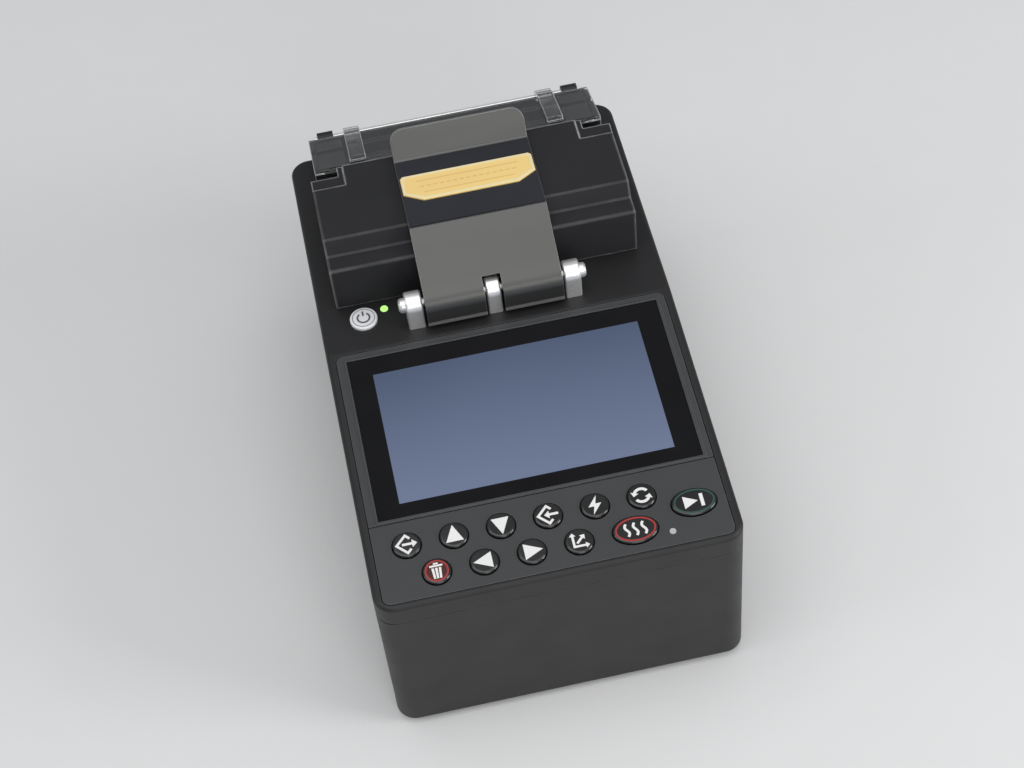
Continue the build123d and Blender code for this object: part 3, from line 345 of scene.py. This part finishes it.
def make_materials():
    """One procedural finish for each material slot of the record."""
    return {
        # the edge colours of the case and the panel are painted highlights along their rims and the bezel's lips
        "case_plastic": surface("case_plastic", (0.0115, 0.0115, 0.0125), 0.48, bump=0.30, grain=2600,
                                edge=(0.085, 0.087, 0.09), speck=0.12),
        # the hood's near-white edge colour is a painted highlight: the bright lines its step edges catch from the
        # lights
        "hood_plastic": surface("hood_plastic", (0.029, 0.029, 0.0315), 0.50, bump=0.22, grain=2600,
                                edge=(0.80, 0.80, 0.81), edge_radius=0.0009, speck=0.10,
                                Specular_IOR_Level=0.08),
        "panel_plastic": surface("panel_plastic", (0.040, 0.042, 0.044), 0.46, bump=0.3, grain=2800,
                                 edge=(0.17, 0.172, 0.175), speck=0.12),
        "screen_glass": screen_glass(),
        "display": surface("display", (0.10, 0.12, 0.22), 0.25, grain=800),
        # the keys' edge colour is a painted highlight: the light crescent their rounded rims catch
        "key_plastic": surface("key_plastic", (0.0055, 0.0055, 0.006), 0.17, bump=0.05, grain=2400,
                               edge=(0.16, 0.16, 0.165), edge_radius=0.0005, Specular_IOR_Level=0.9),
        "icon_print": surface("icon_print", (0.88, 0.88, 0.87), 0.5, spread=0.03, grain=3000, bump=0.1),
        "print_red": surface("print_red", (0.40, 0.032, 0.030), 0.42, grain=2500),
        "print_green": surface("print_green", (0.022, 0.085, 0.068), 0.42, grain=2500),
        "print_grey": surface("print_grey", (0.10, 0.11, 0.13), 0.45, grain=2500),
        "button_white": surface("button_white", (0.86, 0.87, 0.89), 0.25, spread=0.02, grain=1500, bump=0.05),
        "light_green": glowing("light_green", (0.42, 0.86, 0.20), 0.8),
        "light_grey": glowing("light_grey", (0.50, 0.50, 0.51), 0.10),
        # the strap's pale edge colour is a painted highlight along its edges and foot lip
        "strap_metal": surface("strap_metal", (0.112, 0.112, 0.108), 0.36, metallic=0.80, spread=0.05,
                               stretch=(0.12, 1, 1), grain=3500, bump=0.10, edge=(0.62, 0.62, 0.60),
                               edge_radius=0.00035),
        "polished_steel": surface("polished_steel", (0.95, 0.95, 0.94), 0.30, metallic=0.7, spread=0.03,
                                  grain=1800, bump=0.04),
        "plain_steel": surface("plain_steel", (0.46, 0.46, 0.47), 0.33, metallic=1.0, grain=1600, bump=0.10),
        "plate_black": surface("plate_black", (0.020, 0.022, 0.029), 0.34, grain=1800, bump=0.08),
        "gold": surface("gold", (1.0, 0.71, 0.27), 0.40, metallic=0.0, spread=0.05, stretch=(0.1, 1, 1),
                        grain=4000, bump=0.10),
        "rubber": surface("rubber", (0.012, 0.012, 0.012), 0.78, grain=1400, bump=0.4),
        "board_green": surface("board_green", (0.02, 0.12, 0.055), 0.32, grain=1200, bump=0.1),
        "battery_wrap": surface("battery_wrap", (0.03, 0.08, 0.26), 0.30, grain=300, bump=0.15),
        "aluminium": surface("aluminium", (0.58, 0.59, 0.61), 0.34, metallic=1.0, stretch=(0.15, 1, 1),
                             grain=2200, bump=0.10, edge=(0.80, 0.80, 0.82)),
        "dark_aluminium": surface("dark_aluminium", (0.018, 0.018, 0.020), 0.38, metallic=0.4, grain=2000,
                                  bump=0.15, edge=(0.16, 0.16, 0.17)),
        "ceramic": surface("ceramic", (0.80, 0.79, 0.73), 0.30, spread=0.04, grain=1200, bump=0.05),
        "brass": surface("brass", (0.74, 0.52, 0.22), 0.30, metallic=1.0, grain=1500, bump=0.10,
                         edge=(0.92, 0.74, 0.42)),
        "clear_acrylic": clear_plastic(),
        "port_plastic": surface("port_plastic", (0.012, 0.012, 0.013), 0.5, grain=1500),
        "lens": surface("lens", (0.05, 0.05, 0.055), 0.3, metallic=0.7, grain=1500),
    }


def dress_nodes(materials):
    """Give every CAD node the finish of its slot."""
    for part in frame["record"]["subparts"]:
        slots = NODES[part["node"]].data.materials
        slots.clear()
        slots.append(materials[part["material_slot"]])


# ---- printed marks, in millimetres round the middle of a key ---------------------------------------------
def arc_points(wide, high, start, end, steps):
    """Points along an ellipse between two angles in degrees from +x."""
    angles = [radians(start + (end - start) * i / steps) for i in range(steps + 1)]
    return [(wide * cos(a), high * sin(a)) for a in angles]


def arc_band(outer, width, start, end, steps=24, squash=1.0):
    """One curved band, width wide, whose outer edge is an ellipse squashed in height."""
    inside = arc_points(outer - width, outer * squash - width, start, end, steps)
    return [arc_points(outer, outer * squash, start, end, steps) + inside[::-1]]


def ring(outer, width, squash=1.0):
    """Closed band made of two halves."""
    return arc_band(outer, width, 0, 180, squash=squash) + arc_band(outer, width, 180, 360, squash=squash)


def line_band(points, width):
    """Line of even width through the points, with mitred corners, as one outline."""
    left, right = [], []
    for i, (x, y) in enumerate(points):
        runs = []
        for a, b in ((i - 1, i), (i, i + 1)):
            if 0 <= a and b < len(points):
                dx, dy = points[b][0] - points[a][0], points[b][1] - points[a][1]
                runs.append((dx / hypot(dx, dy), dy / hypot(dx, dy)))
        nx, ny = -sum(run[1] for run in runs), sum(run[0] for run in runs)
        # the mitre's corner lies half a width away from the first run, measured square to it
        reach = width / 2 / (ny * runs[0][0] - nx * runs[0][1])
        left.append((x + nx * reach, y + ny * reach))
        right.append((x - nx * reach, y - ny * reach))
    return [left + right[::-1]]


def turned(shapes, degrees, shift=(0, 0)):
    """Shapes turned about the origin and then shifted."""
    c, s = cos(radians(degrees)), sin(radians(degrees))
    return [[(x * c - y * s + shift[0], x * s + y * c + shift[1]) for x, y in shape] for shape in shapes]


def arrow_head(length, half, degrees, base):
    """Triangle that stands on base and points along degrees."""
    return turned([[(length, 0), (0, half), (0, -half)]], degrees, base)


def key_marks():
    """Marks of every key as (word, shapes, slot of the ink)."""
    open_diamond = line_band([(1.35, 2.0), (0, 3.35), (-3.35, 0), (0, -3.35), (1.35, -2.0)], 0.85)
    outward = line_band([(-1.5, 0), (1.9, 0)], 0.9) + arrow_head(1.7, 1.5, 0, (1.9, 0))
    inward = line_band([(3.5, 0), (0.4, 0)], 0.9) + arrow_head(1.7, 1.5, 180, (0.4, 0))
    triangle = [[(3.7, 0), (-2.6, 3.0), (-2.6, -3.0)]]
    bolt = [[(1.1, 3.6), (-2.3, -0.5), (-0.3, -0.5), (-1.1, -3.6), (2.3, 0.5), (0.3, 0.5)]]
    cycle = []
    for turn in (0, 180):
        cycle += turned(arc_band(3.0, 1.0, 35, 150, 16), turn)
        cycle += turned(arrow_head(1.5, 1.35, 248, (-2.17, 1.25)), turn)
    bin_bars = [[(x - 0.42, 1.1), (x * 0.8 - 0.36, -2.9), (x * 0.8 + 0.36, -2.9), (x + 0.42, 1.1)]
                for x in (-1.25, 0.0, 1.25)]
    bin_lid = [[(-2.2, 1.5), (2.2, 1.5), (2.2, 2.2), (-2.2, 2.2)]]
    bin_lid += [[(-0.8, 2.4), (0.8, 2.4), (0.8, 3.0), (-0.8, 3.0)]]
    axes = line_band([(-2.0, 1.9), (-2.0, -2.0), (1.9, -2.0)], 0.8)
    axes += arrow_head(1.3, 1.1, 90, (-2.0, 1.9)) + arrow_head(1.3, 1.1, 0, (1.9, -2.0))
    axes += line_band([(-0.9, -0.9), (1.1, 1.1)], 0.8) + arrow_head(1.4, 1.2, 45, (1.1, 1.1))
    waves = []
    for middle in (-2.9, 0.0, 2.9):
        waves += line_band([(middle + 0.6 * sin(i * pi / 4), -2.4 + 0.6 * i) for i in range(9)], 0.85)
    start = [[(-3.6, 2.4), (-3.6, -2.4), (1.2, 0)], [(2.0, 2.4), (2.0, -2.4), (3.2, -2.4), (3.2, 2.4)]]
    disc = [arc_points(3.45, 3.45, 0, 350, 35)]
    return {
        "key_confirm": [("icon", open_diamond + outward, "icon_print")],
        "key_up": [("icon", turned(triangle, 90), "icon_print")],
        "key_down": [("icon", turned(triangle, 270), "icon_print")],
        "key_next": [("icon", open_diamond + inward, "icon_print")],
        "key_arc": [("icon", bolt, "icon_print")],
        "key_reset": [("icon", cycle, "icon_print")],
        "key_cancel": [("disc", disc, "wine"), ("icon", bin_bars + bin_lid, "icon_print"),
                       ("ring", ring(ROUND_RING, 0.55), "print_red")],
        "key_left": [("icon", turned(triangle, 180), "icon_print")],
        "key_right": [("icon", triangle, "icon_print")],
        "key_view": [("icon", axes, "icon_print")],
        "key_heat": [("icon", waves, "icon_print"),
                     ("ring", ring(OVAL_RING, 0.6, OVAL_SQUASH), "print_red")],
        "key_set": [("icon", start, "icon_print"),
                    ("ring", ring(OVAL_RING, 0.5, OVAL_SQUASH), "print_green")],
    }


def top_middle(node, up):
    """Middle of a node's highest flat face, measured along up."""
    points = [vertex.co for vertex in NODES[node].data.vertices]
    peak = max(point.dot(up) for point in points)
    top = [point for point in points if point.dot(up) > peak - 0.01 * MM]
    low = [min(point[i] for point in top) for i in range(3)]
    high = [max(point[i] for point in top) for i in range(3)]
    return Vector([(a + b) / 2 for a, b in zip(low, high)])


def print_mark(name, shapes, origin, x_axis, y_axis, material, body, height=0.05):
    """Raised print: each flat shape, in millimetres, becomes a thin closed plate standing on the surface."""
    up = x_axis.cross(y_axis)
    build = bmesh.new()
    for number, shape in enumerate(shapes):
        area = sum(a[0] * b[1] - b[0] * a[1] for a, b in zip(shape, shape[1:] + shape[:1]))
        base = [origin + (x_axis * x + y_axis * y) * MM for x, y in (shape if area > 0 else shape[::-1])]
        lower = [build.verts.new(point - up * PRINT_DEPTH * MM) for point in base]
        upper = [build.verts.new(point + up * (height + PRINT_STEP * number) * MM) for point in base]
        build.faces.new(upper)
        build.faces.new(lower[::-1])
        for i in range(len(base)):
            j = (i + 1) % len(base)
            build.faces.new([lower[i], lower[j], upper[j], upper[i]])
    mesh = bpy.data.meshes.new(name)
    build.to_mesh(mesh)
    build.free()
    mesh.materials.append(material)
    piece = bpy.data.objects.new(name, mesh)
    bpy.context.scene.collection.objects.link(piece)
    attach(piece, body)


def panel_print(materials):
    """Icons and coloured rings on the keys, and the power sign on the power button."""
    # the dark red disc under the cancel key's icon gets a darker red ink of its own
    materials = {**materials, "wine": surface("wine_print", (0.060, 0.008, 0.007), 0.4, grain=2500)}
    for key, parts in key_marks().items():
        for word, shapes, ink in parts:
            lift = 0.03 if word == "disc" else 0.05
            print_mark(f"{key}_{word}", shapes, top_middle(key, PANEL_UP), PANEL_X, PANEL_Y, materials[ink],
                       key, lift)
    power = arc_band(2.5, 0.65, 125, 415, 34) + line_band([(0, 0.9), (0, 3.0)], 0.65)
    for word, shapes in (("sign", power), ("ring", ring(4.1, 0.22))):
        print_mark(f"power_{word}", shapes, top_middle("power_button", DECK_UP), PANEL_X, DECK_Y,
                   materials["print_grey"], "power_button")


def badge_print(materials):
    """Pale border round the gold badge and a plain engraved line pattern inside it."""
    low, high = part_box("gold_badge")
    half = ((high.x - low.x) / 2 / MM, (high.y - low.y) / 2 / MM)
    middle = Vector(((low.x + high.x) / 2, (low.y + high.y) / 2, high.z))

    def outline(inset):
        """Outline of the badge drawn in by inset."""
        x, y = half[0] - inset, half[1] - inset
        nick = inset * 0.45
        front, side = x - BADGE_CUT[0] + nick, BADGE_CUT[1] - y - nick
        right = [(front, -y), (x, side), (x, y - BADGE_CORNER), (x - BADGE_CORNER, y)]
        return [(-front, -y)] + right + [(-a, b) for a, b in right[:0:-1]]

    outer, inner = outline(BORDER_INSET), outline(BORDER_INSET + BORDER_W)
    border = [[outer[i], outer[(i + 1) % 8], inner[(i + 1) % 8], inner[i]] for i in range(8)]
    pale = surface("gold_border", (0.97, 0.86, 0.56), 0.34, metallic=0.1, grain=3000)
    print_mark("badge_border", border, middle, PANEL_X, DECK_Y, pale, "wind_cover", 0.05)
    lines = [[(a, y - 0.17), (b, y - 0.17), (b, y + 0.17), (a, y + 0.17)]
             for y, a, b in ((2.9, -18.5, 18.5), (-2.9, -16.5, 16.5))]
    lines += [[(x - 0.75, -0.2), (x + 0.75, -0.2), (x + 0.75, 0.2), (x - 0.75, 0.2)]
              for x in (2.4 * i for i in range(-7, 8))]
    engraved = surface("gold_engraving", (0.84, 0.52, 0.18), 0.45, metallic=0.15, grain=3000)
    print_mark("badge_lines", lines, middle, PANEL_X, DECK_Y, engraved, "wind_cover", 0.02)


camera()
finishes = make_materials()
studio()
dress_nodes(finishes)
panel_print(finishes)
badge_print(finishes)
